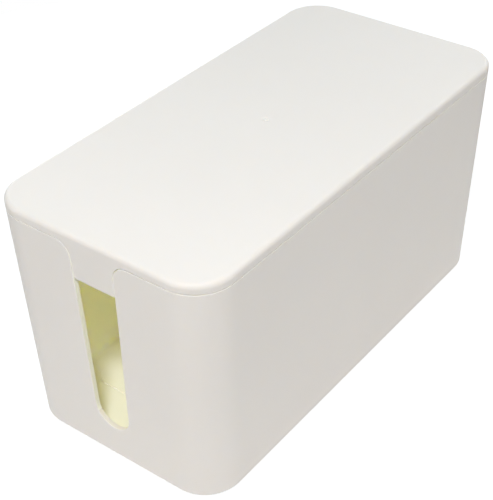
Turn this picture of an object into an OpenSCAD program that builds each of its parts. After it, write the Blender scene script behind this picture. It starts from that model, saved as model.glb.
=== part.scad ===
// Cable management box: a drafted tub with a cable slot in each end, a lift-off lid whose
// tongues close the slots' mouths, and four rubber feet. Millimetres, +Z up, standing on z = 0,
// with the origin under the middle of the box and the long side along X.

/* [Box] */
// Length at the widest level, just under the lid's rounded edge
length = 235; // [190:1:420]
// Width at the same level
width = 116; // [96:1:200]
// Height from the table to the top of the lid
height = 120; // [95:1:200]
// How far each side leans in between that level and the underside
draft = 3.8; // [1:0.1:6]
// Radius of the upright corners
corner_r = 18.6; // [14:0.2:28]

/* [Tub] */
// Thickness of the tub's walls
wall = 2.4; // [1.8:0.1:3.4]
// Thickness of the tub's floor
floor_t = 2.6; // [2.2:0.1:5]
// Radius between the walls and the underside, outside
base_round = 1.5; // [0.6:0.1:3]
// Radius between the walls and the floor, inside
floor_round = 3; // [1:0.1:6]
// Width of the lowered step along the outer edge of the rim
rim_step = 1.2; // [0.6:0.1:1.4]
// Height that the middle of the floor is raised, to keep the underside off the table
panel_h = 0.8; // [0.4:0.1:1.2]
// Distance from each end of the underside to the raised panel
panel_end = 29.5; // [24:0.5:36]
// Distance from each long side of the underside to the raised panel
panel_side = 12; // [9:0.5:20]
// Radius of the raised panel's corners
panel_r = 8; // [4:0.5:12]

/* [Cable slots] */
// Diameter of the round bottom of each slot
slot_w_low = 18.8; // [12:0.2:24]
// Distance between the slot's straight sides at the level of the rim
slot_w_high = 23.6; // [19:0.2:32]
// Height of the slot's lowest point above the table
slot_z = 18.4; // [10:0.2:40]
// Radius that rounds the rim down into each side of the slot
mouth_r = 7.5; // [4:0.5:10]

/* [Lid] */
// Height of the lid above the outer edge of the tub's rim, with the seam
lid_h = 5.5; // [4.8:0.1:9]
// Thickness of the lid's top
lid_t = 2.4; // [1.8:0.1:3.4]
// Radius of the lid's top edge
lid_round = 2.4; // [1:0.1:3]
// Open seam between the tub's outer edge and the lid, also round the tongues
seam = 0.6; // [0.4:0.1:0.9]
// How far each tongue reaches down from the top of the lid
tongue_h = 22.3; // [18:0.1:34]
// Clearance between the tub's walls and the locating lip inside them
lip_gap = 0.4; // [0.3:0.05:0.8]
// Thickness of the locating lip
lip_t = 1.6; // [1.2:0.1:2.4]
// How far the locating lip reaches down into the tub
lip_h = 6; // [3:0.5:8]
// Bevel that leads the lip into the tub
lip_bevel = 0.6; // [0.2:0.1:1]
// Thickness of each rib behind a tongue
rib_t = 1.4; // [1:0.1:2.4]
// Distance between the two ribs behind a tongue
rib_pitch = 12; // [8:0.5:16]
// Depth of each rib where it meets the lid's top
rib_depth = 9; // [6:0.5:14]
// Diameter of the shallow round gate mark in the middle of the lid
gate_d = 4.6; // [3:0.1:8]
// Diameter of the nub in the gate mark
gate_nub_d = 1.4; // [0.8:0.1:2]

/* [Feet] */
// Diameter of each foot
foot_d = 14; // [8:0.5:16]
// Thickness of each foot
foot_t = 2; // [1.6:0.1:3]
// Depth of the recess that each foot is seated in
foot_recess = 1; // [0.6:0.1:1.2]
// Clearance round each foot in its recess
foot_gap = 0.15; // [0.1:0.05:0.4]
// Distance from the underside's edges to the middle of each foot
foot_inset = 14; // [12:0.5:15]
// Bevel round the bottom edge of each foot
foot_bevel = 0.5; // [0.2:0.1:0.8]

/* [Hidden] */

SHELL_COLOUR = [0.93, 0.92, 0.89];
FOOT_COLOUR = [0.62, 0.62, 0.6];
LEFT = -1;
RIGHT = 1;
FRONT = -1;
BACK = 1;

// Steps in a quarter turn of an upright corner, and of the smaller rounds
corner_steps = 14;
round_steps = 5;
// Steps in the arcs of the slot's outline
slot_steps = 20;
// How far a cut runs past the face that it opens
past = 1;
// How far one solid runs into the next where they are joined
bite = 0.4;
$fn = 64;

// Levels, from the table up
base_z = foot_t - foot_recess;
floor_z = base_z + floor_t;
tongue_z = height - tongue_h;
rim_z = height - lid_h;
seat_z = rim_z + seam;
lip_z = seat_z - lip_h;
plate_z = height - lid_t;
round_z = height - lid_round;

// The lip's two faces and the tongue's inner face, as distances in from the outer skin
lip_out = wall + lip_gap;
lip_in = lip_out + lip_t;
tongue_t = lip_out + bite;

// The underside's half sizes, from which the panel and the feet are placed
base_x = length / 2 - draft;
base_y = width / 2 - draft;

// The slot's round bottom, the lean of its sides and the centre of the round at its mouth
slot_r = slot_w_low / 2;
slot_c = slot_z + slot_r;
slot_lean = atan((slot_w_high - slot_w_low) / 2 / (rim_z - slot_c));
mouth_z = rim_z - mouth_r;
mouth_y = slot_side(mouth_z) + mouth_r / cos(slot_lean);

gate_depth = 0.25;
gate_nub_h = 0.2;

// How far the outer skin leans in at a level
function lean(z) = draft * (round_z - z) / (round_z - base_z);

// Distance from the middle to the slot's straight side at a level
function slot_side(z) = slot_r / cos(slot_lean) + (z - slot_c) * tan(slot_lean);

// Points along an arc, from angle a to angle b
function arc(c, r, a, b, steps) =
    [for (i = [0:steps]) let (t = a + (b - a) * i / steps) c + r * [cos(t), sin(t)]];

// The points of a list with their first coordinate turned over, in reverse order
function mirrored(points) =
    [for (i = [len(points) - 1:-1:0]) [-points[i][0], points[i][1]]];

// A rectangle with round corners at a level, given by its half sizes
function round_rect(x, y, r, z) = [
    for (i = [0:3])
        let (side = [i == 0 || i == 3 ? 1 : -1, i < 2 ? 1 : -1])
        for (p = arc([side[0] * (x - r), side[1] * (y - r)], r, 90 * i, 90 * i + 90, corner_steps))
            [p[0], p[1], z]
];

// The outer skin's outline at a level, moved in by a distance
function skin(inset, z) =
    round_rect(length / 2 - lean(z) - inset, width / 2 - lean(z) - inset, corner_r - inset, z);

// A solid over a stack of outlines with equal numbers of points. It is capped at both ends,
// or joined from the last outline back to the first when it is a loop.
module loft(rings, loop = false) {
    n = len(rings[0]);
    last = len(rings) - 1;
    sides = [
        for (i = [0:loop ? last : last - 1])
            let (low = i * n, high = (i < last ? i + 1 : 0) * n)
            for (j = [0:n - 1])
                let (k = (j + 1) % n)
                each [[low + j, high + j, high + k], [low + j, high + k, low + k]]
    ];
    caps = [[for (j = [0:n - 1]) j], [for (j = [n - 1:-1:0]) last * n + j]];
    polyhedron(
        points = [for (ring = rings) each ring],
        faces = loop ? sides : concat(sides, caps)
    );
}

// A wall that follows the box's outline, from a profile of [distance in from the skin, level]
module swept(profile, loop = false) {
    loft([for (p = profile) skin(p[0], p[1])], loop);
}

// A prism along the box's length, from one half of an outline across its width
module along_box(half) {
    rotate([90, 0, 90])
        linear_extrude(length + 2 * past, center = true)
            polygon(concat(half, mirrored(half)));
}

// The slot, as wide as the tub leaves it, from its round bottom up past the rim
module slot_cut() {
    along_box(concat(
        arc([0, slot_c], slot_r, -90, -slot_lean, slot_steps),
        arc([mouth_y, mouth_z], mouth_r, 180 - slot_lean, 90, slot_steps),
        [[mouth_y, height + past]]
    ));
}

// The tongue's width at each level: the slot less the seam, out to where the rim is level
module tongue_cut() {
    low = tongue_z - 2 * past;
    along_box(concat(
        [[slot_side(low) - seam / cos(slot_lean), low]],
        arc([mouth_y, mouth_z], mouth_r + seam, 180 - slot_lean, 90, slot_steps),
        [[mouth_y, height + past]]
    ));
}

// A low panel with round corners in the middle of the floor, between two levels
module floor_panel(z0, z1) {
    x = base_x - panel_end;
    y = base_y - panel_side;
    ease = panel_h / 2;
    loft([
        round_rect(x, y, panel_r, z0),
        round_rect(x, y, panel_r, z1 - ease),
        round_rect(x - ease, y - ease, panel_r - ease, z1)
    ]);
}

// Places what follows at a foot's centre, on the table
module at_foot(x_side, y_side) {
    translate([x_side * (base_x - foot_inset), y_side * (base_y - foot_inset), 0])
        children();
}

module tub() {
    profile = concat(
        arc([base_round, base_z + base_round], base_round, 270, 180, round_steps),
        [[0, rim_z], [rim_step, rim_z], [rim_step, seat_z], [wall, seat_z]],
        arc([wall + floor_round, floor_z + floor_round], floor_round, 180, 270, round_steps)
    );
    color(SHELL_COLOUR)
        difference() {
            union() {
                swept(profile);
                floor_panel(floor_z - bite, floor_z + panel_h);
            }
            slot_cut();
            floor_panel(base_z - past, base_z + panel_h);
            for (x_side = [LEFT, RIGHT], y_side = [FRONT, BACK])
                at_foot(x_side, y_side)
                    cylinder(d = foot_d + 2 * foot_gap, h = foot_t);
        }
}

// The lid's top and edge, with a tongue left standing at each end below the seam
module lid_shell() {
    profile = concat(
        [[tongue_t, plate_z], [tongue_t, tongue_z], [0, tongue_z]],
        arc([lid_round, round_z], lid_round, 180, 90, round_steps)
    );
    difference() {
        swept(profile);
        difference() {
            translate([0, 0, (tongue_z - past + seat_z) / 2])
                cube([length + past, width + past, seat_z - tongue_z + past], center = true);
            tongue_cut();
        }
    }
}

// The lip that drops inside the tub's walls and keeps the lid in place
module lid_lip() {
    swept([
        [lip_in, plate_z + bite],
        [lip_in, lip_z],
        [lip_out + lip_bevel, lip_z],
        [lip_out, lip_z + lip_bevel],
        [lip_out, plate_z + bite]
    ], loop = true);
}

// A three-cornered rib from the back of a tongue to the underside of the lid's top
module tongue_rib() {
    root = tongue_t - bite;
    foot_x = length / 2 - lean(tongue_z) - root;
    top_x = length / 2 - lean(plate_z) - root;
    rotate([90, 0, 0])
        linear_extrude(rib_t, center = true)
            polygon([
                [foot_x, tongue_z + past],
                [top_x, plate_z + bite],
                [top_x - bite - rib_depth, plate_z + bite],
                [foot_x - bite, tongue_z + past]
            ]);
}

// The shallow round mark that the moulding gate leaves, cut from the lid's top
module gate_mark() {
    translate([0, 0, height - gate_depth])
        difference() {
            cylinder(d = gate_d, h = gate_depth + past);
            translate([0, 0, -past])
                cylinder(d = gate_nub_d, h = past + gate_nub_h);
        }
}

module lid() {
    color(SHELL_COLOUR)
        difference() {
            union() {
                lid_shell();
                lid_lip();
                for (turn = [0, 180], y = [-1, 1] * rib_pitch / 2)
                    rotate(turn)
                        translate([0, y, 0])
                            tongue_rib();
            }
            gate_mark();
        }
}

module foot(x_side, y_side) {
    color(FOOT_COLOUR)
        at_foot(x_side, y_side)
            rotate_extrude()
                polygon([
                    [0, 0],
                    [foot_d / 2 - foot_bevel, 0],
                    [foot_d / 2, foot_bevel],
                    [foot_d / 2, foot_t],
                    [0, foot_t]
                ]);
}

tub();
lid();
foot(LEFT, FRONT);  // foot_left_front
foot(RIGHT, FRONT);  // foot_right_front
foot(LEFT, BACK);  // foot_left_back
foot(RIGHT, BACK);  // foot_right_back
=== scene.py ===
"""Looks of the cable management box: a moulded tub, its lift-off lid and four rubber feet.

The classes hold their sizes in millimetres, as the part's own source does, but for the lamps and
the floor under the box, which are in metres. A solid is built in millimetres too, and is scaled to
metres when it is finished.
"""

import logging
import math
from dataclasses import dataclass, field, replace
from enum import Enum
from typing import Callable

import bmesh
import bpy
from mathutils import Matrix, Vector

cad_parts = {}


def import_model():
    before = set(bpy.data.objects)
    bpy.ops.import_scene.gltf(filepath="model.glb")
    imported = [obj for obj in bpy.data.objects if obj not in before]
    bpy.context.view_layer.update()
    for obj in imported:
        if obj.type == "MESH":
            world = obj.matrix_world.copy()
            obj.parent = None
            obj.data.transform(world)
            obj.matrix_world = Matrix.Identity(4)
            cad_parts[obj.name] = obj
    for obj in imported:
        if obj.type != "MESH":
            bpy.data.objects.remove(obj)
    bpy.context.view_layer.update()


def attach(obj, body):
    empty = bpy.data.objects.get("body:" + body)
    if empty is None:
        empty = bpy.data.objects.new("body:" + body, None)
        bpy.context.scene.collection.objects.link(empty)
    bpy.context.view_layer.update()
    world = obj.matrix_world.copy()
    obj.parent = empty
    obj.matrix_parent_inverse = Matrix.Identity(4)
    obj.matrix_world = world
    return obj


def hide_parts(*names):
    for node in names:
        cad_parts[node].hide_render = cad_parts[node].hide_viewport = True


LOG = logging.getLogger("cable_box")

MILLIMETRE = 0.001

# Slack, in millimetres, for telling the levels that a face's middle lies between.
LEVEL_SLACK = 0.1
# What a face's normal tells: it has at least the first along Z on a level face, at most the second
# along X on one that looks across the box, and at most the third along Z on an upright one.
LEVEL_FACE = 0.7
CROSS_FACE = 0.5
UPRIGHT_FACE = 0.4

Point2 = tuple[float, float]
Point3 = tuple[float, float, float]
Colour = tuple[float, float, float]
Ring = list[Point3]


class End(Enum):
    """The two short ends of the box."""

    LEFT = -1
    RIGHT = 1


class Side(Enum):
    """The two long sides of the box."""

    FRONT = -1
    BACK = 1


class Body(Enum):
    """The bodies that pieces ride on."""

    TUB = "tub"
    LID = "lid"


class Joining(Enum):
    """The ways in which one solid changes another."""

    CUT = "DIFFERENCE"
    ADD = "UNION"


class Finish(Enum):
    """The finishes of a shell, by their place among its materials: the outside's own, and two
    inside ones whose yellow colours are painted glow.
    """

    OUTSIDE = 0
    INSIDE = 1
    INSIDE_FLOOR = 2


def arc(centre: Point2, radius: float, start: float, end: float, steps: int) -> list[Point2]:
    """Points along an arc.

    Args:
        centre: The arc's centre.
        radius: The arc's radius.
        start: Angle of the first point, in degrees.
        end: Angle of the last point, in degrees.
        steps: Number of equal steps between them.

    Returns:
        The points, one more than there are steps.
    """
    points = []
    for step in range(steps + 1):
        angle = math.radians(start + (end - start) * step / steps)
        points.append((centre[0] + radius * math.cos(angle), centre[1] + radius * math.sin(angle)))
    return points


def round_rectangle(half_x: float, half_y: float, radius: float, level: float, steps: int) -> Ring:
    """A rectangle with round corners, lying level.

    Args:
        half_x: Half of its size along X.
        half_y: Half of its size along Y.
        radius: Radius of its corners.
        level: Its height.
        steps: Number of steps in each corner.

    Returns:
        Its points, counterclockwise as seen from above.
    """
    ring = []
    for quarter, (x_side, y_side) in enumerate([(1, 1), (-1, 1), (-1, -1), (1, -1)]):
        centre = (x_side * (half_x - radius), y_side * (half_y - radius))
        for x, y in arc(centre, radius, 90 * quarter, 90 * quarter + 90, steps):
            ring.append((x, y, level))
    return ring


def placed(name: str, data: bpy.types.ID) -> bpy.types.Object:
    """Makes an object of a mesh, a camera or a lamp, and places it in the scene.

    Args:
        name: The object's name.
        data: What it shows.

    Returns:
        The object.
    """
    item = bpy.data.objects.new(name, data)
    bpy.context.collection.objects.link(item)
    return item


# ---- Solids ----


class Solid:
    """A closed mesh under construction, in millimetres."""

    def __init__(self, name: str, form: bmesh.types.BMesh) -> None:
        """Takes over a bmesh as a new object.

        Args:
            name: The object's name.
            form: The mesh, which is freed.
        """
        bmesh.ops.recalc_face_normals(form, faces=form.faces)
        mesh = bpy.data.meshes.new(name)
        form.to_mesh(mesh)
        form.free()
        self.object = placed(name, mesh)

    @classmethod
    def lofted(cls, name: str, rings: list[Ring], loop: bool = False) -> "Solid":
        """A skin over a stack of rings with equal numbers of points.

        Args:
            name: The solid's name.
            rings: The rings, in order along the skin.
            loop: Whether the last ring is joined to the first, in place of a cap at each end.

        Returns:
            The solid.
        """
        form = bmesh.new()
        rows = [[form.verts.new(point) for point in ring] for ring in rings]
        count = len(rows[0])
        pairs = list(zip(rows, rows[1:]))
        if loop:
            pairs.append((rows[-1], rows[0]))
        else:
            form.faces.new(rows[0][::-1])
            form.faces.new(rows[-1])
        for low, high in pairs:
            for j in range(count):
                k = (j + 1) % count
                form.faces.new([low[j], low[k], high[k], high[j]])
        return cls(name, form)

    @classmethod
    def lengthwise(cls, name: str, outline: list[Point2], reach: float) -> "Solid":
        """A prism along X.

        Args:
            name: The solid's name.
            outline: Its outline across the box, as points of (y, z).
            reach: How far it goes to each side of the middle.

        Returns:
            The solid.
        """
        return cls.lofted(name, [[(x, y, z) for y, z in outline] for x in (-reach, reach)])

    @classmethod
    def turned(cls, name: str, profile: list[Point2], centre: Point2, steps: int) -> "Solid":
        """A body of revolution round an upright axis.

        Args:
            name: The solid's name.
            profile: Its outline, as points of (radius, level).
            centre: Where its axis stands.
            steps: Number of steps in a full turn.

        Returns:
            The solid.
        """
        rings = []
        for radius, level in profile:
            ring = arc(centre, radius, 0, 360 - 360 / steps, steps - 1)
            rings.append([(x, y, level) for x, y in ring])
        return cls.lofted(name, rings)

    def join(self, other: "Solid", joining: Joining) -> None:
        """Cuts another solid from this one, or adds it, and uses it up.

        Args:
            other: The other solid.
            joining: Whether it is cut or added.
        """
        modifier = self.object.modifiers.new("join", "BOOLEAN")
        modifier.operation = joining.value
        modifier.solver = "EXACT"
        modifier.object = other.object
        self.settle()
        bpy.data.objects.remove(other.object)

    def settle(self) -> None:
        """Makes the modifiers' result the solid's own mesh."""
        bpy.context.view_layer.update()
        graph = bpy.context.evaluated_depsgraph_get()
        result = bpy.data.meshes.new_from_object(self.object.evaluated_get(graph))
        self.object.modifiers.clear()
        before = self.object.data
        self.object.data = result
        bpy.data.meshes.remove(before)

    def tidy(self, distance: float = 0.002) -> None:
        """Merges points that lie closer than a distance, which the joins may leave.

        Args:
            distance: The distance.
        """
        form = bmesh.new()
        form.from_mesh(self.object.data)
        bmesh.ops.remove_doubles(form, verts=form.verts, dist=distance)
        bmesh.ops.dissolve_degenerate(form, edges=form.edges, dist=distance)
        form.to_mesh(self.object.data)
        form.free()

    def mark_edges(self, sharp: float, share: Callable[[Vector], float]) -> None:
        """Marks the edges where the surface turns sharply, for the rounding.

        Args:
            sharp: Angle from which an edge counts as sharp, in degrees.
            share: Says which share of the full rounding an edge gets, from its middle.
        """
        form = bmesh.new()
        form.from_mesh(self.object.data)
        weights = form.edges.layers.float.new("bevel_weight_edge")
        for edge in form.edges:
            if edge.calc_face_angle(0.0) > math.radians(sharp):
                edge[weights] = share((edge.verts[0].co + edge.verts[1].co) / 2)
        form.to_mesh(self.object.data)
        form.free()

    def ease(
        self,
        width: float,
        segments: int = 3,
        sharp: float = 30.0,
        share: Callable[[Vector], float] = lambda middle: 1.0,
    ) -> None:
        """Rounds the edges where the surface turns sharply, and shades the rest smooth.

        Args:
            width: Width of the rounding.
            segments: Number of steps in it.
            sharp: Angle from which an edge counts as sharp, in degrees.
            share: Says which share of the full rounding an edge gets, from its middle.
        """
        self.tidy()
        self.mark_edges(sharp, share)
        mesh = self.object.data
        mesh.polygons.foreach_set("use_smooth", [True] * len(mesh.polygons))
        bevel = self.object.modifiers.new("ease", "BEVEL")
        bevel.width = width
        bevel.segments = segments
        bevel.limit_method = "WEIGHT"
        bevel.use_clamp_overlap = False
        bevel.miter_outer = "MITER_ARC"
        weigh = self.object.modifiers.new("weigh", "WEIGHTED_NORMAL")
        weigh.weight = 90
        weigh.keep_sharp = True
        self.settle()

    def paint(self, finish: Callable[[Vector, Vector], Finish]) -> None:
        """Gives each face its finish, which on the inside faces is painted glow.

        Args:
            finish: Tells the finish from a face's middle and its normal.
        """
        for face in self.object.data.polygons:
            face.material_index = finish(face.center, face.normal).value

    def piece(self, body: Body, slot: str, *materials: bpy.types.Material) -> bpy.types.Object:
        """Turns the solid into a finished piece of the box.

        Args:
            body: The body that it rides on.
            slot: The record's material slot for its finish; not used.
            *materials: Its materials.

        Returns:
            The piece's object, in metres.
        """
        mesh = self.object.data
        mesh.transform(Matrix.Scale(MILLIMETRE, 4))
        places = [face.material_index for face in mesh.polygons]
        mesh.materials.clear()
        for material in materials:
            mesh.materials.append(material)
        mesh.polygons.foreach_set("material_index", places)
        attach(self.object, body.value)
        return self.object


# ---- Forms that the tub and the lid share ----


@dataclass(frozen=True)
class Skin:
    """The drafted outer skin, a rectangle with round corners at every level."""

    length: float = 235.0
    width: float = 116.0
    height: float = 120.0
    draft: float = 3.8
    corner_radius: float = 18.6
    base_level: float = 1.0
    widest_level: float = 117.6
    foot_inset: float = 14.0
    corner_steps: int = 28

    @property
    def base_half(self) -> Point2:
        """Half sizes of the underside."""
        return (self.length / 2 - self.draft, self.width / 2 - self.draft)

    def foot_centre(self, end: End, side: Side) -> Point2:
        """The middle of the foot under one corner."""
        half_x, half_y = self.base_half
        return (end.value * (half_x - self.foot_inset), side.value * (half_y - self.foot_inset))

    def lean(self, level: float) -> float:
        """How far the skin leans in at a level."""
        return self.draft * (self.widest_level - level) / (self.widest_level - self.base_level)

    def outline(self, inset: float, level: float) -> Ring:
        """The skin's outline at a level, moved in by a distance.

        Args:
            inset: The distance.
            level: The level.

        Returns:
            The outline's points.
        """
        lean = self.lean(level)
        return round_rectangle(
            self.length / 2 - lean - inset,
            self.width / 2 - lean - inset,
            self.corner_radius - inset,
            level,
            self.corner_steps,
        )

    def inset_of(self, point: Vector) -> float:
        """How far inside the skin a point in a wall lies, measured level.

        Args:
            point: The point.

        Returns:
            The distance, which is negative outside the skin.
        """
        lean = self.lean(point.z)
        past_x = abs(point.x) - (self.length / 2 - lean - self.corner_radius)
        past_y = abs(point.y) - (self.width / 2 - lean - self.corner_radius)
        return self.corner_radius - math.hypot(max(past_x, 0.0), max(past_y, 0.0))

    def swept(self, profile: list[Point2]) -> list[Ring]:
        """The outlines for a wall's profile, given as points of (inset, level)."""
        return [self.outline(inset, level) for inset, level in profile]


@dataclass(frozen=True)
class CableSlot:
    """The slot in each end: a round bottom, sides that flare a little, and a rounded mouth."""

    round_width: float = 18.8
    mouth_width: float = 23.6
    lowest: float = 18.4
    mouth_radius: float = 7.5
    rim_level: float = 114.8
    seam: float = 0.3
    steps: int = 32

    @property
    def seat_level(self) -> float:
        """Level that the lid's edge rests at, one seam above the rim."""
        return self.rim_level + self.seam

    @property
    def radius(self) -> float:
        """Radius of the round bottom."""
        return self.round_width / 2

    @property
    def centre_level(self) -> float:
        """Level of the round bottom's centre."""
        return self.lowest + self.radius

    @property
    def flare(self) -> float:
        """Lean of the slot's sides, in radians."""
        rise = self.rim_level - self.centre_level
        return math.atan((self.mouth_width - self.round_width) / 2 / rise)

    @property
    def mouth_centre(self) -> Point2:
        """Centre of the round at the mouth, on the side of positive Y."""
        level = self.rim_level - self.mouth_radius
        return (self.half_width(level) + self.mouth_radius / math.cos(self.flare), level)

    def half_width(self, level: float) -> float:
        """Distance from the middle to the slot's straight side at a level."""
        rise = level - self.centre_level
        return self.radius / math.cos(self.flare) + rise * math.tan(self.flare)

    def mouth_arc(self, radius: float) -> list[Point2]:
        """Points of an arc round the mouth's centre, from the slot's side to the rim."""
        return arc(self.mouth_centre, radius, 180 - math.degrees(self.flare), 90, self.steps)

    def opening(self, top: float) -> list[Point2]:
        """Outline of what the slot takes out of the tub.

        Args:
            top: Level that it reaches up to.

        Returns:
            The outline's points, of (y, z).
        """
        half = arc(
            (0.0, self.centre_level), self.radius, -90, -math.degrees(self.flare), self.steps
        )
        half += self.mouth_arc(self.mouth_radius)
        half.append((self.mouth_centre[0], top))
        return half + [(-y, z) for y, z in reversed(half[1:])]

    def tongue(self, bottom: float, top: float) -> list[Point2]:
        """Outline of the tongue that closes the mouth, one seam away from the slot.

        Args:
            bottom: Level that the outline reaches down to.
            top: Level that it reaches up to.

        Returns:
            The outline's points, of (y, z).
        """
        half = [(self.half_width(bottom) - self.seam / math.cos(self.flare), bottom)]
        half += self.mouth_arc(self.mouth_radius + self.seam)
        half.append((self.mouth_centre[0], top))
        return half + [(-y, z) for y, z in reversed(half)]


# ---- Node building ----


class Nodes:
    """Adds nodes to a tree and joins them."""

    def __init__(self, tree: bpy.types.NodeTree) -> None:
        """Starts from a tree, which is emptied."""
        self.tree = tree
        tree.nodes.clear()

    def add(self, kind: str, values: dict | None = None, **settings: object) -> bpy.types.Node:
        """Adds a node.

        Args:
            kind: The node's type name, without its ShaderNode prefix.
            values: What its inputs take, by name or place: a number, a colour or a socket.
            **settings: The node's own settings.

        Returns:
            The node.
        """
        prefix = "" if kind.startswith("NodeGroup") else "ShaderNode"
        node = self.tree.nodes.new(prefix + kind)
        for name, value in settings.items():
            setattr(node, name, value)
        for key, value in (values or {}).items():
            if isinstance(value, bpy.types.NodeSocket):
                self.tree.links.new(value, node.inputs[key])
            else:
                node.inputs[key].default_value = value
        return node

    def group(self, tree: bpy.types.NodeTree, values: dict) -> bpy.types.Node:
        """Places a node group with its own values."""
        return self.add("Group", values, node_tree=tree)

    def math(self, operation: str, *values: object, clamp: bool = False) -> bpy.types.NodeSocket:
        """Adds a sum over one to three values and returns its result."""
        node = self.add("Math", dict(enumerate(values)), operation=operation, use_clamp=clamp)
        return node.outputs[0]

    def spread(self, value: object, low: float, high: float) -> bpy.types.NodeSocket:
        """Maps low to 0 and high to 1, evenly and held within them."""
        values = {"Value": value, "From Min": low, "From Max": high}
        return self.add("MapRange", values, clamp=True).outputs["Result"]

    def between(self, share: object, first: object, second: object) -> bpy.types.NodeSocket:
        """Mixes two colours: the share goes from all of the first to all of the second."""
        values = {0: share, 6: first, 7: second}
        return self.add("Mix", values, data_type="RGBA").outputs[2]


def opaque(colour: Colour) -> tuple[float, float, float, float]:
    """A colour with full opacity, as a colour socket takes it."""
    return (*colour, 1.0)


def new_group(
    name: str, inputs: dict[str, object], outputs: dict[str, str]
) -> tuple[bpy.types.NodeTree, Nodes, bpy.types.Node]:
    """Starts a shader node group.

    Args:
        name: The group's name.
        inputs: Its inputs' names with their first values: a number, or a colour as four numbers.
        outputs: Its outputs' names with their socket types.

    Returns:
        The group's tree, its builder and its input node.
    """
    tree = bpy.data.node_groups.new(name, "ShaderNodeTree")
    for label, value in inputs.items():
        kind = "NodeSocketFloat" if isinstance(value, float) else "NodeSocketColor"
        socket = tree.interface.new_socket(name=label, in_out="INPUT", socket_type=kind)
        socket.default_value = value
    for label, kind in outputs.items():
        tree.interface.new_socket(name=label, in_out="OUTPUT", socket_type=kind)
    nodes = Nodes(tree)
    return tree, nodes, nodes.add("NodeGroupInput")


class Effects:
    """The surface effects that more than one finish uses, each a node group built once."""

    # How fine the pits and the broad wave are, next to the grain.
    pit_scale = 0.7
    wave_scale = 0.02

    def __init__(self) -> None:
        """Builds the groups."""
        self.grain = self.build_grain()
        self.drift = self.build_drift()
        self.rubbing = self.build_rubbing()
        self.dust = self.build_dust()

    @staticmethod
    def build_grain() -> bpy.types.NodeTree:
        """The fine texture that a tool leaves in a moulding.

        Returns:
            A group from Size, in millimetres, and Unevenness to Height and Mask.
        """
        tree, nodes, given = new_group(
            "tool_grain",
            {"Size": 0.4, "Unevenness": 0.5},
            {"Height": "NodeSocketFloat", "Mask": "NodeSocketFloat"},
        )
        place = nodes.add("TexCoord").outputs["Object"]
        scale = nodes.math("DIVIDE", 1.0 / MILLIMETRE, given.outputs["Size"])
        fine = nodes.add(
            "TexNoise", {"Vector": place, "Scale": scale, "Detail": 2.0, "Roughness": 0.55}
        )
        close = nodes.math("MULTIPLY", scale, Effects.pit_scale)
        pits = nodes.add("TexVoronoi", {"Vector": place, "Scale": close}, feature="SMOOTH_F1")
        slow = nodes.math("MULTIPLY", scale, Effects.wave_scale)
        broad = nodes.add("TexNoise", {"Vector": place, "Scale": slow, "Detail": 1.0})
        height = nodes.math("ADD", fine.outputs["Fac"], pits.outputs["Distance"])
        wave = nodes.math("MULTIPLY", broad.outputs["Fac"], given.outputs["Unevenness"])
        uneven = nodes.math("ADD", height, wave)
        mask = nodes.spread(fine.outputs["Fac"], low=0.35, high=0.65)
        nodes.add("NodeGroupOutput", {"Height": uneven, "Mask": mask})
        return tree

    @staticmethod
    def build_drift() -> bpy.types.NodeTree:
        """A slow change of tone over a surface.

        Returns:
            A group from Base, Shift and Size, in millimetres, to Colour and Mask.
        """
        tree, nodes, given = new_group(
            "tone_drift",
            {"Base": opaque((0.8, 0.8, 0.8)), "Shift": opaque((0.7, 0.7, 0.7)), "Size": 60.0},
            {"Colour": "NodeSocketColor", "Mask": "NodeSocketFloat"},
        )
        place = nodes.add("TexCoord").outputs["Object"]
        scale = nodes.math("DIVIDE", 1.0 / MILLIMETRE, given.outputs["Size"])
        cloud = nodes.add(
            "TexNoise",
            {"Vector": place, "Scale": scale, "Detail": 3.0, "Roughness": 0.45, "Distortion": 0.4},
        )
        mask = nodes.spread(cloud.outputs["Fac"], low=0.3, high=0.7)
        colour = nodes.between(mask, given.outputs["Base"], given.outputs["Shift"])
        nodes.add("NodeGroupOutput", {"Colour": colour, "Mask": mask})
        return tree

    @staticmethod
    def build_rubbing() -> bpy.types.NodeTree:
        """Where hands and shelves rub: along the outer edges, in patches.

        Returns:
            A group from Reach, in metres, and Amount to Mask.
        """
        tree, nodes, given = new_group(
            "edge_rubbing", {"Reach": 0.0006, "Amount": 0.5}, {"Mask": "NodeSocketFloat"}
        )
        soft = nodes.add("Bevel", {"Radius": given.outputs["Reach"]}, samples=4)
        true = nodes.add("NewGeometry")
        alike = nodes.add(
            "VectorMath",
            {0: soft.outputs["Normal"], 1: true.outputs["Normal"]},
            operation="DOT_PRODUCT",
        )
        turn = nodes.math("SUBTRACT", 1.0, alike.outputs["Value"])
        edge = nodes.spread(turn, low=0.01, high=0.12)
        place = nodes.add("TexCoord").outputs["Object"]
        patches = nodes.add("TexNoise", {"Vector": place, "Scale": 90.0, "Detail": 4.0})
        broken = nodes.spread(patches.outputs["Fac"], low=0.38, high=0.62)
        mask = nodes.math("MULTIPLY", edge, broken)
        scaled = nodes.math("MULTIPLY", mask, given.outputs["Amount"], clamp=True)
        nodes.add("NodeGroupOutput", {"Mask": scaled})
        return tree

    @staticmethod
    def build_dust() -> bpy.types.NodeTree:
        """A trace of dust that gathers in grooves and corners.

        Returns:
            A group from Reach, in metres, and Amount to Mask.
        """
        tree, nodes, given = new_group(
            "groove_dust", {"Reach": 0.003, "Amount": 0.3}, {"Mask": "NodeSocketFloat"}
        )
        shade = nodes.add(
            "AmbientOcclusion", {"Distance": given.outputs["Reach"]}, samples=4, only_local=True
        )
        hollow = nodes.math("SUBTRACT", 1.0, shade.outputs["AO"])
        place = nodes.add("TexCoord").outputs["Object"]
        specks = nodes.add("TexNoise", {"Vector": place, "Scale": 400.0, "Detail": 3.0})
        broken = nodes.spread(specks.outputs["Fac"], low=0.3, high=0.7)
        mask = nodes.math("MULTIPLY", hollow, broken)
        scaled = nodes.math("MULTIPLY", mask, given.outputs["Amount"], clamp=True)
        nodes.add("NodeGroupOutput", {"Mask": scaled})
        return tree


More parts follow.
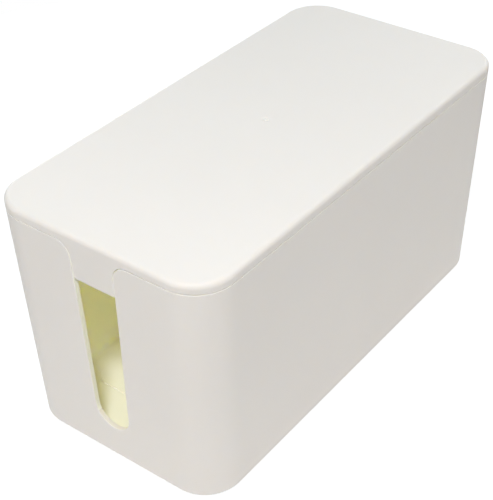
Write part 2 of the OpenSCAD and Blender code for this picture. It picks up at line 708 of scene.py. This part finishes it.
# ---- Finishes ----


def new_material(name: str) -> tuple[bpy.types.Material, Nodes]:
    """Starts a material.

    Args:
        name: The material's name.

    Returns:
        The material and its builder.
    """
    material = bpy.data.materials.new(name)
    material.use_nodes = True
    return material, Nodes(material.node_tree)


@dataclass(frozen=True)
class MouldedSurface:
    """A moulding's finish, which drifts in tone and wears. Its sizes are in millimetres."""

    name: str
    colour: Colour
    shift: Colour
    rubbed: Colour
    dust: Colour
    roughness: float
    polished: float
    refraction: float
    translucence: float
    light_reach: Point3
    sheen: float
    drift_size: float
    drift_dulling: float
    rubbing_reach: float
    rubbing_amount: float
    dust_reach: float
    dust_amount: float
    grain_size: float
    grain_unevenness: float
    grain_dulling: float
    grain_depth: float
    grain_strength: float

    def material(self, effects: Effects) -> bpy.types.Material:
        """Builds the material.

        Args:
            effects: The shared effects.

        Returns:
            The material.
        """
        material, nodes = new_material(self.name)
        drift = nodes.group(
            effects.drift,
            {"Base": opaque(self.colour), "Shift": opaque(self.shift), "Size": self.drift_size},
        )
        rubbing = nodes.group(
            effects.rubbing,
            {"Reach": self.rubbing_reach * MILLIMETRE, "Amount": self.rubbing_amount},
        )
        dust = nodes.group(
            effects.dust, {"Reach": self.dust_reach * MILLIMETRE, "Amount": self.dust_amount}
        )
        grain = nodes.group(
            effects.grain, {"Size": self.grain_size, "Unevenness": self.grain_unevenness}
        )
        worn = rubbing.outputs["Mask"]
        clean = nodes.between(worn, drift.outputs["Colour"], opaque(self.rubbed))
        least = self.roughness - (self.grain_dulling + self.drift_dulling) / 2
        matt = nodes.math("MULTIPLY_ADD", grain.outputs["Mask"], self.grain_dulling, least)
        matt = nodes.math("MULTIPLY_ADD", drift.outputs["Mask"], self.drift_dulling, matt)
        matt = nodes.math("MULTIPLY_ADD", worn, self.polished - self.roughness, matt)
        bump = nodes.add(
            "Bump",
            {
                "Height": grain.outputs["Height"],
                "Strength": self.grain_strength,
                "Distance": self.grain_depth * MILLIMETRE,
            },
        )
        shader = nodes.add(
            "BsdfPrincipled",
            {
                "Base Color": nodes.between(dust.outputs["Mask"], clean, opaque(self.dust)),
                "Roughness": matt,
                "Normal": bump.outputs["Normal"],
                "IOR": self.refraction,
                "Subsurface Weight": self.translucence,
                "Subsurface Radius": self.light_reach,
                "Subsurface Scale": MILLIMETRE,
                "Sheen Weight": self.sheen,
            },
            subsurface_method="RANDOM_WALK",
        )
        nodes.add("OutputMaterial", {"Surface": shader.outputs["BSDF"]})
        return material


@dataclass(frozen=True)
class MouldedPlastic(MouldedSurface):
    """Off-white satin plastic, thin enough in a wall to let warm light through."""

    colour: Colour = (0.872, 0.828, 0.776)
    shift: Colour = (0.857, 0.814, 0.761)
    rubbed: Colour = (0.893, 0.851, 0.801)
    dust: Colour = (0.70, 0.675, 0.63)
    roughness: float = 0.56
    polished: float = 0.44
    refraction: float = 1.49
    translucence: float = 1.0
    light_reach: Point3 = (1.0, 0.95, 0.85)
    sheen: float = 0.0
    drift_size: float = 70.0
    drift_dulling: float = 0.03
    rubbing_reach: float = 0.7
    rubbing_amount: float = 0.6
    dust_reach: float = 2.5
    dust_amount: float = 0.12
    grain_size: float = 0.55
    grain_unevenness: float = 2.0
    grain_dulling: float = 0.05
    grain_depth: float = 0.004
    grain_strength: float = 0.5


@dataclass(frozen=True)
class FootRubber(MouldedSurface):
    """Matt grey rubber of the feet, which lets no light in."""

    colour: Colour = (0.34, 0.335, 0.32)
    shift: Colour = (0.28, 0.275, 0.265)
    rubbed: Colour = (0.55, 0.53, 0.49)
    dust: Colour = (0.55, 0.53, 0.49)
    roughness: float = 0.78
    polished: float = 0.78
    refraction: float = 1.52
    translucence: float = 0.0
    light_reach: Point3 = (0.0, 0.0, 0.0)
    sheen: float = 0.05
    drift_size: float = 6.0
    drift_dulling: float = 0.0
    rubbing_reach: float = 0.5
    rubbing_amount: float = 0.7
    dust_reach: float = 1.5
    dust_amount: float = 0.5
    grain_size: float = 0.3
    grain_unevenness: float = 0.2
    grain_dulling: float = 0.12
    grain_depth: float = 0.03
    grain_strength: float = 0.8


@dataclass(frozen=True)
class StageFloor:
    """The floor: white to the camera but for the box's soft shadow, and open from below."""

    name: str = "stage_floor"
    colour: Colour = (0.805, 0.805, 0.805)
    mottle: float = 0.985
    glow: float = 0.80
    shade: float = 0.30

    def material(self) -> bpy.types.Material:
        """Builds the material.

        Returns:
            The material.
        """
        material, nodes = new_material(self.name)
        path = nodes.add("LightPath")
        seen = nodes.math("MAXIMUM", path.outputs["Is Camera Ray"], path.outputs["Is Glossy Ray"])
        seen = nodes.math("MAXIMUM", seen, path.outputs["Is Transmission Ray"])
        paper = nodes.add("TexNoise", {"Scale": 220.0, "Detail": 3.0})
        tone = nodes.between(
            paper.outputs["Fac"],
            opaque(self.colour),
            opaque(tuple(self.mottle * part for part in self.colour)),
        )
        real = nodes.add("BsdfDiffuse", {"Color": tone})
        glow = nodes.add("Emission", {"Color": opaque((1.0, 1.0, 1.0)), "Strength": self.glow})
        shade = nodes.add("BsdfDiffuse", {"Color": opaque((self.shade,) * 3)})
        white = nodes.add("AddShader", {0: glow.outputs[0], 1: shade.outputs[0]})
        shown = nodes.add("MixShader", {0: seen, 1: real.outputs[0], 2: white.outputs[0]})
        clear = nodes.add("BsdfTransparent")
        geometry = nodes.add("NewGeometry")
        below = nodes.add(
            "MixShader",
            {0: geometry.outputs["Backfacing"], 1: shown.outputs[0], 2: clear.outputs[0]},
        )
        nodes.add("OutputMaterial", {"Surface": below.outputs[0]})
        return material


# ---- The box ----


@dataclass
class Tub:
    """The tub: drafted walls, a stepped rim, a cable slot in each end and a stiffened floor."""

    skin: Skin
    slot: CableSlot
    outside: bpy.types.Material
    inside: bpy.types.Material
    inside_floor: bpy.types.Material
    wall: float = 2.4
    floor: float = 2.6
    base_round: float = 1.5
    floor_round: float = 3.0
    rim_step: float = 1.2
    panel_height: float = 0.5
    panel_end: float = 29.5
    panel_side: float = 12.0
    panel_radius: float = 8.0
    foot_hole: float = 14.3
    foot_depth: float = 1.0
    edge: float = 0.2
    least_share: float = 0.3
    cutter_past: float = 5.0
    round_steps: int = 8
    panel_steps: int = 4
    hole_steps: int = 64

    @property
    def floor_level(self) -> float:
        """Level of the floor, inside."""
        return self.skin.base_level + self.floor

    def panel(self, level: float, inset: float) -> Ring:
        """The outline of the raised panel in the floor.

        Args:
            level: Its level.
            inset: How far it is moved in.

        Returns:
            The outline's points.
        """
        half_x, half_y = self.skin.base_half
        return round_rectangle(
            half_x - self.panel_end - inset,
            half_y - self.panel_side - inset,
            self.panel_radius - inset,
            level,
            self.skin.corner_steps,
        )

    def panel_edge(self, level: float) -> list[Ring]:
        """The panel's edge.

        Args:
            level: Level of its foot.

        Returns:
            Its outlines, from the foot up to the rounded top.
        """
        ease = self.panel_height / 2
        rings = [self.panel(level, 0.0)]
        for inset, rise in arc((ease, ease), ease, 180, 90, self.panel_steps):
            rings.append(self.panel(level + rise, inset))
        return rings

    def rings(self) -> list[Ring]:
        """The tub's skin.

        Returns:
            Its outlines, from the panel under the floor round the wall to the panel inside.
        """
        base = self.skin.base_level
        outer = (self.base_round, base + self.base_round)
        wall = arc(outer, self.base_round, 270, 180, self.round_steps)
        rim, seat = self.slot.rim_level, self.slot.seat_level
        wall += [(0.0, rim), (self.rim_step, rim), (self.rim_step, seat), (self.wall, seat)]
        inner = (self.wall + self.floor_round, self.floor_level + self.floor_round)
        wall += arc(inner, self.floor_round, 180, 270, self.round_steps)
        under = self.panel_edge(base)[::-1]
        return under + self.skin.swept(wall) + self.panel_edge(self.floor_level)

    def finish_of(self, middle: Vector, normal: Vector) -> Finish:
        """The finish of a face.

        Args:
            middle: The face's middle.
            normal: The face's normal.

        Returns:
            The outside's on the skin, the underside, the rim and the round bottom of a slot, the
            inside floor's painted glow on the floor and on a slot's sides, and the inside's
            painted glow elsewhere.
        """
        top = self.slot.rim_level - LEVEL_SLACK
        in_wall = self.floor_level - LEVEL_SLACK < middle.z < top
        if not in_wall or self.skin.inset_of(middle) < self.edge:
            return Finish.OUTSIDE
        # Painted glow: the floor inside takes the inside floor's yellow colour.
        if normal.z > LEVEL_FACE and middle.z < self.floor_level + self.floor_round:
            return Finish.INSIDE_FLOOR
        inward = normal.xy.dot(middle.xy) < 0
        # Painted glow: a slot's steep sides take the inside floor's warm colour, standing in for
        # light that comes through the walls.
        if abs(normal.x) < CROSS_FACE and abs(middle.y) < self.slot.mouth_width:
            if normal.z < UPRIGHT_FACE:
                return Finish.INSIDE_FLOOR
            inward = middle.z > self.slot.centre_level
        return Finish.INSIDE if inward else Finish.OUTSIDE

    def share_of(self, middle: Vector) -> float:
        """The share of the full rounding that an edge gets.

        Args:
            middle: The edge's middle.

        Returns:
            All of it outside, and inside less and less towards the narrow seat of the lid.
        """
        if self.skin.inset_of(middle) < self.edge:
            return 1.0
        below_rim = self.slot.rim_level - middle.z
        return min(max(below_rim / self.slot.mouth_radius, self.least_share), 1.0)

    def build(self) -> bpy.types.Object:
        """Builds the tub and dresses it.

        Returns:
            The tub's object.
        """
        tub = Solid.lofted("tub_shell", self.rings())
        reach = self.skin.length / 2 + self.cutter_past
        opening = self.slot.opening(self.skin.height + self.cutter_past)
        tub.join(Solid.lengthwise("slot_cutter", opening, reach), Joining.CUT)
        top = self.skin.base_level + self.foot_depth
        hole = [(self.foot_hole / 2, 0.0), (self.foot_hole / 2, top)]
        for end in End:
            for side in Side:
                centre = self.skin.foot_centre(end, side)
                cutter = Solid.turned("foot_cutter", hole, centre, self.hole_steps)
                tub.join(cutter, Joining.CUT)
        tub.ease(self.edge, share=self.share_of)
        tub.paint(self.finish_of)
        materials = (self.outside, self.inside, self.inside_floor)
        piece = tub.piece(Body.TUB, "tub_plastic", *materials)
        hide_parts("tub")
        return piece


@dataclass
class Lid:
    """The lid: a flat top with a rounded edge, two tongues, a locating lip and ribs."""

    skin: Skin
    slot: CableSlot
    outside: bpy.types.Material
    inside: bpy.types.Material
    thickness: float = 2.4
    top_round: float = 2.4
    tongue_height: float = 22.3
    tongue_thickness: float = 3.2
    lip_out: float = 2.8
    lip_in: float = 4.4
    lip_height: float = 6.0
    lip_bevel: float = 0.75
    overlap: float = 0.4
    rib_thickness: float = 1.4
    rib_pitch: float = 12.0
    rib_depth: float = 9.0
    rib_tip: float = 0.7
    rib_rise: float = 1.0
    gate_width: float = 4.6
    gate_depth: float = 0.3
    gate_slope: float = 0.6
    gate_nub: float = 1.6
    gate_nub_height: float = 0.28
    gate_nub_edge: Point2 = (0.1, 0.02)
    gate_past: float = 0.5
    edge: float = 0.3
    inner_share: float = 0.35
    cutter_past: float = 4.0
    round_steps: int = 8
    gate_steps: int = 48

    @property
    def plate_level(self) -> float:
        """Level of the underside of the lid's top."""
        return self.skin.height - self.thickness

    @property
    def tongue_level(self) -> float:
        """Level of the tongues' lower edge."""
        return self.skin.height - self.tongue_height

    def shell(self) -> Solid:
        """The lid's top and edge, with its two tongues.

        Returns:
            The solid.
        """
        profile = [
            (self.tongue_thickness, self.plate_level),
            (self.tongue_thickness, self.tongue_level),
            (0.0, self.tongue_level),
        ]
        centre = (self.top_round, self.skin.height - self.top_round)
        profile += arc(centre, self.top_round, 180, 90, self.round_steps)
        shell = Solid.lofted("lid_shell", self.skin.swept(profile))
        past, seat = self.cutter_past, self.slot.seat_level
        bottom = self.tongue_level - past
        reach_x = self.skin.length / 2 + past
        reach_y = self.skin.width / 2 + past
        outline = [(-reach_y, bottom), (reach_y, bottom), (reach_y, seat), (-reach_y, seat)]
        around = Solid.lengthwise("skirt_cutter", outline, reach_x)
        tongue = self.slot.tongue(bottom - past, self.skin.height + past)
        around.join(Solid.lengthwise("tongue_form", tongue, reach_x + past), Joining.CUT)
        shell.join(around, Joining.CUT)
        return shell

    def lip(self) -> Solid:
        """The lip that drops inside the tub's walls.

        Returns:
            The solid.
        """
        top = self.plate_level + self.overlap
        low = self.slot.seat_level - self.lip_height
        profile = [
            (self.lip_in, top),
            (self.lip_in, low),
            (self.lip_out + self.lip_bevel, low),
            (self.lip_out, low + self.lip_bevel),
            (self.lip_out, top),
        ]
        return Solid.lofted("lid_lip", self.skin.swept(profile), loop=True)

    def rib(self, end: End, y: float) -> Solid:
        """A three-cornered rib behind a tongue.

        Args:
            end: The end that the tongue is at.
            y: Where the rib's middle is.

        Returns:
            The solid.
        """
        root = self.tongue_thickness - self.overlap
        low = self.tongue_level + self.rib_rise
        low_x = self.skin.length / 2 - self.skin.lean(self.tongue_level) - root
        top_x = self.skin.length / 2 - self.skin.lean(self.plate_level) - root
        top = self.plate_level + self.overlap
        outline = [
            (low_x, low),
            (top_x, top),
            (top_x - self.overlap - self.rib_depth, top),
            (low_x - self.overlap - self.rib_tip, low),
        ]
        half = self.rib_thickness / 2
        sides = (y - half, y + half)
        rings = [[(end.value * x, side, z) for x, z in outline] for side in sides]
        return Solid.lofted("lid_rib", rings)

    def gate_mark(self) -> Solid:
        """The shallow round mark that the moulding gate leaves, with its nub.

        Returns:
            The solid to cut from the lid's top.
        """
        floor = self.skin.height - self.gate_depth
        nub = floor + self.gate_nub_height
        run, fall = self.gate_nub_edge
        radius, past = self.gate_width / 2, self.gate_past
        profile = [
            (self.gate_nub / 4, nub),
            (self.gate_nub / 2 - run, nub - fall),
            (self.gate_nub / 2, floor),
            (radius - self.gate_slope, floor),
            (radius + past * self.gate_slope / self.gate_depth, self.skin.height + past),
        ]
        return Solid.turned("gate_cutter", profile, (0.0, 0.0), self.gate_steps)

    def finish_of(self, middle: Vector, normal: Vector) -> Finish:
        """The finish of a face.

        Args:
            middle: The face's middle.
            normal: The face's normal.

        Returns:
            The outside's on the skin, and the inside's painted glow elsewhere, down to the lid's
            lower edge in the seam.
        """
        if middle.z > self.plate_level + LEVEL_SLACK:
            return Finish.OUTSIDE
        # Painted glow: every face under the top but the skin takes the inside colour.
        in_wall = self.skin.inset_of(middle) > self.edge
        inside = in_wall or normal.z < -LEVEL_FACE or normal.xy.dot(middle.xy) < 0
        return Finish.INSIDE if inside else Finish.OUTSIDE

    def share_of(self, middle: Vector) -> float:
        """The share of the full rounding that an edge gets: all of it outside, less inside."""
        return 1.0 if self.skin.inset_of(middle) < self.edge else self.inner_share

    def build(self) -> bpy.types.Object:
        """Builds the lid and dresses it.

        Returns:
            The lid's object.
        """
        lid = self.shell()
        lid.join(self.lip(), Joining.ADD)
        for end in End:
            for y in (-self.rib_pitch / 2, self.rib_pitch / 2):
                lid.join(self.rib(end, y), Joining.ADD)
        lid.join(self.gate_mark(), Joining.CUT)
        lid.ease(self.edge, share=self.share_of)
        lid.paint(self.finish_of)
        piece = lid.piece(Body.LID, "lid_plastic", self.outside, self.inside)
        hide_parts("lid")
        return piece


@dataclass
class Feet:
    """The four rubber feet, seated in round recesses under the tub."""

    skin: Skin
    rubber: bpy.types.Material
    width: float = 14.0
    thickness: float = 2.0
    edge_round: float = 0.5
    top_bevel: float = 0.2
    dish: float = 0.25
    dish_width: float = 8.0
    dish_slope: float = 0.5
    edge: float = 0.06
    round_steps: int = 6
    turn_steps: int = 72

    def build(self) -> list[bpy.types.Object]:
        """Builds the feet and dresses them.

        Returns:
            The feet's objects.
        """
        radius, dish_radius, bevel = self.width / 2, self.dish_width / 2, self.top_bevel
        centre = (radius - self.edge_round, self.edge_round)
        profile = [(dish_radius - self.dish_slope, self.dish), (dish_radius, 0.0)]
        profile += arc(centre, self.edge_round, 270, 360, self.round_steps)
        profile += [(radius, self.thickness - bevel), (radius - bevel, self.thickness)]
        pieces = []
        for end in End:
            for side in Side:
                name = f"foot_{end.name}_{side.name}".lower()
                place = self.skin.foot_centre(end, side)
                foot = Solid.turned("rubber_" + name, profile, place, self.turn_steps)
                foot.ease(self.edge, segments=2, sharp=40.0)
                piece = foot.piece(Body.TUB, "foot_rubber", self.rubber)
                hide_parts(name)
                pieces.append(piece)
        return pieces


# ---- Studio ----


def direction(azimuth: float, elevation: float) -> Vector:
    """The direction from the box to something that looks at it or lights it.

    Args:
        azimuth: Its angle round the box, from the front towards the right, in degrees.
        elevation: Its angle above the floor, in degrees.

    Returns:
        The direction, of length 1.
    """
    around, above = math.radians(azimuth), math.radians(elevation)
    level = math.cos(above)
    return Vector((math.sin(around) * level, -math.cos(around) * level, math.sin(above)))


@dataclass(frozen=True)
class Viewpoint:
    """The camera, by its direction from the box, its distance and its picture's centre."""

    azimuth: float = -52.9614
    elevation: float = 34.8678
    roll: float = -0.9248
    distance: float = 591.028
    focal_pixels: float = 1219.514
    target: Point3 = (3.3603, 6.1639, 60.0)
    axis_pixel: Point2 = (261.51, 220.168)
    picture: Point2 = (493.0, 500.0)
    sensor: float = 36.0
    clip: Point2 = (0.01, 20.0)

    def build(self) -> None:
        """Builds the camera and makes it the scene's own."""
        back = direction(self.azimuth, self.elevation)
        roll = math.radians(self.roll)
        right = (-back).cross(Vector((0.0, 0.0, 1.0))).normalized()
        up = right.cross(-back)
        across = right * math.cos(roll) + up * math.sin(roll)
        upward = up * math.cos(roll) - right * math.sin(roll)
        data = bpy.data.cameras.new("view_camera")
        long_side = max(self.picture)
        data.sensor_width = self.sensor
        data.sensor_height = self.sensor
        data.lens = self.focal_pixels / long_side * self.sensor
        data.shift_x = (self.picture[0] / 2 - self.axis_pixel[0]) / long_side
        data.shift_y = (self.axis_pixel[1] - self.picture[1] / 2) / long_side
        data.clip_start, data.clip_end = self.clip
        camera = placed("view_camera", data)
        place = (Vector(self.target) + back * self.distance) * MILLIMETRE
        turn = Matrix((across, upward, back)).transposed()
        camera.matrix_world = Matrix.Translation(place) @ turn.to_4x4()
        bpy.context.scene.camera = camera


@dataclass(frozen=True)
class Lamp:
    """A soft round lamp that faces the box, with its place and size in metres."""

    name: str
    azimuth: float
    elevation: float
    distance: float
    size: float
    power: float
    colour: Colour = (1.0, 1.0, 1.0)
    aim: Point3 = (0.0, 0.0, 0.06)

    def build(self) -> None:
        """Builds the lamp."""
        back = direction(self.azimuth, self.elevation)
        data = bpy.data.lights.new(self.name, "AREA")
        data.shape = "DISK"
        data.size = self.size
        data.energy = self.power
        data.color = self.colour
        lamp = placed(self.name, data)
        lamp.location = Vector(self.aim) + back * self.distance
        lamp.rotation_euler = back.to_track_quat("Z", "Y").to_euler()


@dataclass
class Studio:
    """The pale floor, the lamps and the even light all round."""

    floor: StageFloor = field(default_factory=StageFloor)
    floor_radius: float = 0.42
    floor_steps: int = 96
    bounces: int = 96
    fill: float = 0.225
    fill_colour: Colour = (1.0, 0.985, 0.95)
    lamps: tuple[Lamp, ...] = (
        Lamp("key_lamp", -58.0, 51.5, 0.95, 0.145, 5.68, (0.985, 1.0, 1.03)),
        Lamp("left_lamp", -130.0, 20.0, 1.3, 0.9, 2.15),
        Lamp("front_lamp", 35.0, 20.0, 1.3, 0.9, 1.85),
        Lamp("right_lamp", 95.0, 22.0, 1.3, 0.9, 4.6),
        Lamp("over_lamp", 135.0, 60.0, 1.3, 0.5, 1.55, (0.62, 1.0, 1.25)),
        Lamp("back_lamp", 150.0, 8.0, 1.2, 0.3, 3.3),
    )

    def build_floor(self) -> None:
        """Builds the floor."""
        form = bmesh.new()
        bmesh.ops.create_circle(
            form, cap_ends=True, segments=self.floor_steps, radius=self.floor_radius
        )
        mesh = bpy.data.meshes.new("floor")
        form.to_mesh(mesh)
        form.free()
        mesh.materials.append(self.floor.material())
        floor = placed("floor", mesh)

    def build_world(self) -> None:
        """Builds the even light, which is white where it is seen."""
        world = bpy.data.worlds.new("studio")
        world.use_nodes = True
        bpy.context.scene.world = world
        nodes = Nodes(world.node_tree)
        path = nodes.add("LightPath")
        camera, through = path.outputs["Is Camera Ray"], path.outputs["Is Transmission Ray"]
        seen = nodes.math("MAXIMUM", camera, through)
        fill = nodes.add("Background", {"Color": opaque(self.fill_colour), "Strength": self.fill})
        white = nodes.add("Background", {"Color": opaque((1.0, 1.0, 1.0)), "Strength": 1.0})
        mixed = nodes.add("MixShader", {0: seen, 1: fill.outputs[0], 2: white.outputs[0]})
        nodes.add("OutputWorld", {"Surface": mixed.outputs[0]})

    def build(self) -> None:
        """Builds the stage and sets how colours are shown."""
        self.build_floor()
        self.build_world()
        for lamp in self.lamps:
            lamp.build()
        scene = bpy.context.scene
        scene.view_settings.view_transform = "Standard"
        scene.cycles.max_bounces = self.bounces
        scene.cycles.diffuse_bounces = self.bounces


SHELL_OUTSIDE = MouldedPlastic("shell_outside")
# Painted glow: the inside colour is a near-white yellow that stands in for light coming through
# the thin walls and bouncing round inside the box.
SHELL_INSIDE = MouldedPlastic(
    "shell_inside",
    colour=(0.993, 0.987, 0.880),
    shift=(0.991, 0.984, 0.873),
    light_reach=(7.5, 6.4, 2.2),
)
# Painted glow and shade: the floor inside and the slots' sides take a slightly darker yellow copy
# of the inside colour, set to give the floor's lit and shaded parts their brightness.
SHELL_INSIDE_FLOOR = replace(
    SHELL_INSIDE,
    name="shell_inside_floor",
    colour=(0.970, 0.963, 0.895),
    shift=(0.967, 0.960, 0.888),
    translucence=0.0,
)
FOOT_GRIP = FootRubber("foot_grip")


def main() -> None:
    """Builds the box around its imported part, with its studio and camera."""
    logging.basicConfig(level=logging.INFO, format="%(name)s: %(message)s")
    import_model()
    Viewpoint().build()
    Studio().build()
    effects = Effects()
    # The two inside materials carry painted glow in their colours.
    finishes = (SHELL_OUTSIDE, SHELL_INSIDE, SHELL_INSIDE_FLOOR, FOOT_GRIP)
    outside, inside, inside_floor, rubber = (finish.material(effects) for finish in finishes)
    skin = Skin()
    slot = CableSlot()
    pieces = [
        Tub(skin, slot, outside, inside, inside_floor).build(),
        Lid(skin, slot, outside, inside).build(),
    ]
    pieces += Feet(skin, rubber).build()
    for piece in pieces:
        LOG.info("%s: %d faces", piece.name, len(piece.data.polygons))


if __name__ == "__main__":
    main()
